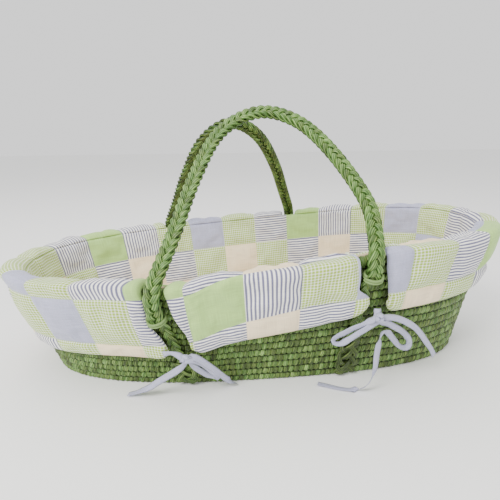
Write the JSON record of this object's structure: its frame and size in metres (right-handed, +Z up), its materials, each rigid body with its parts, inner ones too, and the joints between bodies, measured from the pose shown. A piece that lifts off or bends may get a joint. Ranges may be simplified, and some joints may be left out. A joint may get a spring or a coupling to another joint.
{
  "type": "moses basket",
  "caption": "Woven leaf carry basket for a baby, with folding braided handles, a padded patchwork lining with tie ribbons, and a lift-out mattress in a fitted sheet.",
  "frame": {"origin": "middle of the underside, on the surface that the basket stands on, midway between the ends of the rim", "axes": "+X towards the head end, where the rim is highest; +Y towards the rear wall; +Z up"},
  "size_m": [0.8396, 0.457, 0.427],
  "materials": {
    "woven_leaf": "dyed green maize leaf, plaited in courses",
    "braided_leaf": "dyed green maize leaf, braided",
    "leaf_cord": "twisted green leaf cord",
    "patchwork_cotton": "patchwork of lime, lilac and cream cottons, quilted",
    "plain_cotton": "plain cream cotton over wadding",
    "sheet_cotton": "plain cream cotton, washed",
    "foam": "open-cell foam",
    "ribbon_cotton": "lilac cotton tape"
  },
  "bodies": {
    "basket": {"basket_floor": "woven_leaf", "course_01": "woven_leaf", "course_02": "woven_leaf", "course_03": "woven_leaf", "course_04": "woven_leaf", "course_05": "woven_leaf", "course_06": "woven_leaf", "course_07": "woven_leaf", "course_08": "woven_leaf", "course_09": "woven_leaf", "course_10": "woven_leaf", "course_11": "woven_leaf", "course_12": "woven_leaf", "course_13": "woven_leaf", "course_14": "woven_leaf", "rim_roll": "woven_leaf", "root_front_foot_end": "braided_leaf", "root_front_head_end": "braided_leaf", "root_rear_foot_end": "braided_leaf", "root_rear_head_end": "braided_leaf", "lashing_front_foot_end": "leaf_cord", "lashing_front_head_end": "leaf_cord", "lashing_rear_foot_end": "leaf_cord", "lashing_rear_head_end": "leaf_cord", "strap_front_foot_end": "braided_leaf", "strap_front_head_end": "braided_leaf", "strap_rear_foot_end": "braided_leaf", "strap_rear_head_end": "braided_leaf", "knot_mat_front_foot_end": "braided_leaf", "knot_mat_front_head_end": "braided_leaf", "knot_mat_rear_foot_end": "braided_leaf", "knot_mat_rear_head_end": "braided_leaf", "lining_floor": "plain_cotton", "lining_band": "patchwork_cotton", "flap_foot": "patchwork_cotton", "flap_front": "patchwork_cotton", "flap_head": "patchwork_cotton", "flap_rear": "patchwork_cotton", "bow_knot_a": "ribbon_cotton", "bow_knot_b": "ribbon_cotton", "ribbon_a_tail": "ribbon_cotton", "ribbon_a_loop": "ribbon_cotton", "ribbon_b_loop": "ribbon_cotton", "ribbon_b_tail": "ribbon_cotton"},
    "handle_front": {"handle_front": "braided_leaf"},
    "handle_rear": {"handle_rear": "braided_leaf"},
    "mattress": {"mattress_foam": "foam", "fitted_sheet": "sheet_cotton"}
  },
  "joints": [
    {"name": "handle_front_fold", "type": "hinge", "parent": "basket", "child": "handle_front", "pos_m": [-0.00792, -0.21564, 0.19913], "axis": [0.993, -0.0078, 0.1179], "range_deg": [0, 150]},
    {"name": "handle_rear_fold", "type": "hinge", "parent": "basket", "child": "handle_rear", "pos_m": [-0.03576, 0.21585, 0.19718], "axis": [-0.9973, -0.0271, -0.0677], "range_deg": [0, 150]},
    {"name": "mattress_lift", "type": "slide", "parent": "basket", "child": "mattress", "axis": [0, 0, 1], "range_m": [0, 0.18]}
  ]
}
